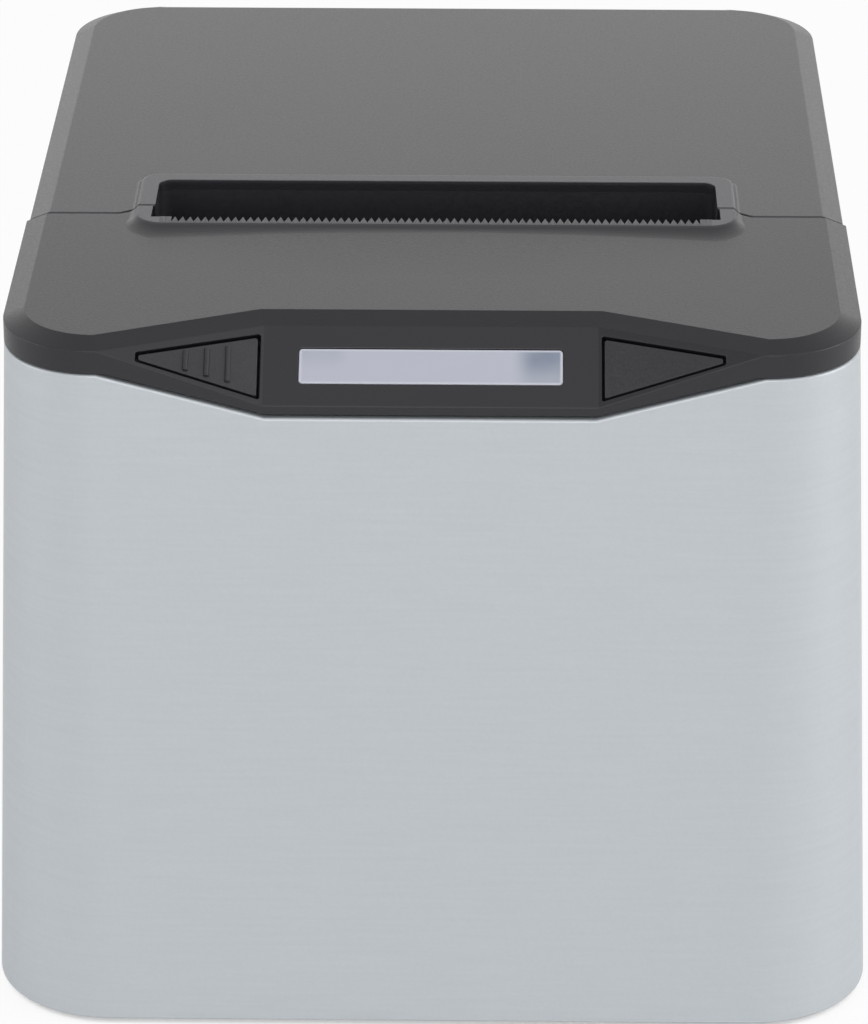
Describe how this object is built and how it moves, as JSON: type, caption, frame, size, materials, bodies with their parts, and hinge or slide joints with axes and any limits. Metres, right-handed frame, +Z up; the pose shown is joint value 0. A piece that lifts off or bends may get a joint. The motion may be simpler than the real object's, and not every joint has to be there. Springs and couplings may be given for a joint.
{
  "type": "thermal_receipt_printer",
  "caption": "Desktop thermal receipt printer for 80 mm paper, silver casing with a grey lid, tear bar, light window and two keys",
  "frame": {"origin": "centre of the footprint on the table", "axes": "+X right seen from the front, -Y front, +Z up"},
  "size_m": [0.128, 0.153, 0.1071],
  "materials": {
    "shell_paint": "fine satin, silver pigment",
    "cover_grey": "fine spark texture, dark grey",
    "lid_grey": "fine spark texture, grey",
    "key_grey": "fine spark texture, charcoal",
    "inner_black": "moulded, plain",
    "socket_black": "moulded, smooth",
    "window_clear": "frosted, translucent",
    "blade_steel": "stamped, brushed",
    "plain_steel": "bright zinc plate",
    "frame_steel": "galvanised sheet",
    "sink_alloy": "drawn, plain",
    "head_ceramic": null,
    "gear_nylon": "natural nylon",
    "pinion_brass": "machined",
    "motor_can": "plated steel can",
    "platen_rubber": "ground",
    "foot_rubber": "moulded",
    "board_green": "solder mask",
    "chip_black": "moulded epoxy",
    "capacitor_blue": "shrunk sleeve",
    "lamp_white": "clear epoxy",
    "ribbon_amber": "polyimide film",
    "rocker_red": "moulded, smooth"
  },
  "bodies": {
    "chassis": {"outer_shell": "shell_paint", "base_tray": "inner_black", "rubber_feet": "foot_rubber", "tray_screws": "plain_steel", "front_cover": "cover_grey", "cover_screws": "plain_steel", "tear_bar": "blade_steel", "status_window": "window_clear", "panel_board": "board_green", "status_lamps": "lamp_white", "panel_screws": "plain_steel", "feed_switch": "chip_black", "hinge_pin": "plain_steel", "stepper_motor": "motor_can", "motor_screws": "plain_steel", "gear_posts": "plain_steel", "post_clip": "blade_steel", "mechanism_frame": "frame_steel", "frame_screws": "plain_steel", "head_pin": "plain_steel", "head_springs": "plain_steel", "latch_spring": "plain_steel", "paper_bucket": "inner_black", "bucket_screws": "plain_steel", "paper_sensor": "chip_black", "main_board": "board_green", "board_screws": "plain_steel", "board_chips": "chip_black", "board_capacitors": "capacitor_blue", "head_ribbon": "ribbon_amber", "panel_ribbon": "ribbon_amber", "socket_plate": "inner_black", "usb_socket": "plain_steel", "power_jack": "socket_black", "drawer_socket": "socket_black", "switch_housing": "socket_black"},
    "lid": {"paper_lid": "lid_grey", "lid_liner": "inner_black", "lid_screws": "plain_steel", "platen_bushes": "gear_nylon"},
    "platen": {"platen_roller": "platen_rubber", "platen_shaft": "plain_steel", "platen_gear": "gear_nylon"},
    "idler": {"idler_gear": "gear_nylon"},
    "reduction": {"reduction_gear": "gear_nylon"},
    "rotor": {"motor_pinion": "pinion_brass"},
    "print_head": {"thermal_head": "head_ceramic", "head_sink": "sink_alloy"},
    "feed_key": {"feed_button": "key_grey", "feed_plunger": "chip_black"},
    "release_key": {"release_button": "key_grey"},
    "latch": {"latch_shaft": "plain_steel", "latch_hooks": "frame_steel"},
    "power_key": {"power_rocker": "rocker_red"}
  },
  "joints": [
    {"name": "lid_hinge", "type": "hinge", "parent": "chassis", "child": "lid", "pos_m": [0, 0.068, 0.1015], "axis": [-1, 0, 0], "range_deg": [0, 90]},
    {"name": "platen_spin", "type": "hinge", "parent": "lid", "child": "platen", "pos_m": [0, -0.0135, 0.088], "axis": [1, 0, 0], "continuous": true},
    {"name": "idler_spin", "type": "hinge", "parent": "chassis", "child": "idler", "pos_m": [0.0516, -0.01036, 0.06902], "axis": [1, 0, 0], "continuous": true},
    {"name": "reduction_spin", "type": "hinge", "parent": "chassis", "child": "reduction", "pos_m": [0.0516, -0.02546, 0.05844], "axis": [1, 0, 0], "continuous": true},
    {"name": "motor_spin", "type": "hinge", "parent": "chassis", "child": "rotor", "pos_m": [0.0516, -0.04338, 0.04494], "axis": [1, 0, 0], "continuous": true},
    {"name": "head_pivot", "type": "hinge", "parent": "chassis", "child": "print_head", "pos_m": [0, -0.01822, 0.07], "axis": [1, 0, 0], "range_deg": [0, 3], "stiffness_Nm_per_rad": 1, "springref_deg": -3.44, "deforming": ["head_springs"]},
    {"name": "feed_press", "type": "slide", "parent": "chassis", "child": "feed_key", "axis": [0, 0.6324, -0.7747], "range_m": [0, 0.0008], "stiffness_N_per_m": 600, "springref_m": -0.0006},
    {"name": "release_press", "type": "slide", "parent": "chassis", "child": "release_key", "axis": [0, 0.6324, -0.7747], "range_m": [0, 0.0015], "stiffness_N_per_m": 600, "springref_m": -0.001},
    {"name": "latch_swing", "type": "hinge", "parent": "chassis", "child": "latch", "pos_m": [0, -0.04, 0.076], "axis": [1, 0, 0], "range_deg": [0, 3.2], "stiffness_Nm_per_rad": 0.2, "springref_deg": -5.73, "deforming": ["latch_spring"]},
    {"name": "power_rock", "type": "hinge", "parent": "chassis", "child": "power_key", "pos_m": [0.03, 0.0712, 0.0132], "axis": [0, 0, 1], "range_deg": [0, 16]}
  ],
  "couplings": [
    {"joint": "idler_spin", "follows": "platen_spin", "ratio": -0.6},
    {"joint": "reduction_spin", "follows": "platen_spin", "ratio": 1.125},
    {"joint": "motor_spin", "follows": "platen_spin", "ratio": -2.8125},
    {"joint": "latch_swing", "follows": "release_press", "rad_per_m": 33.8}
  ]
}
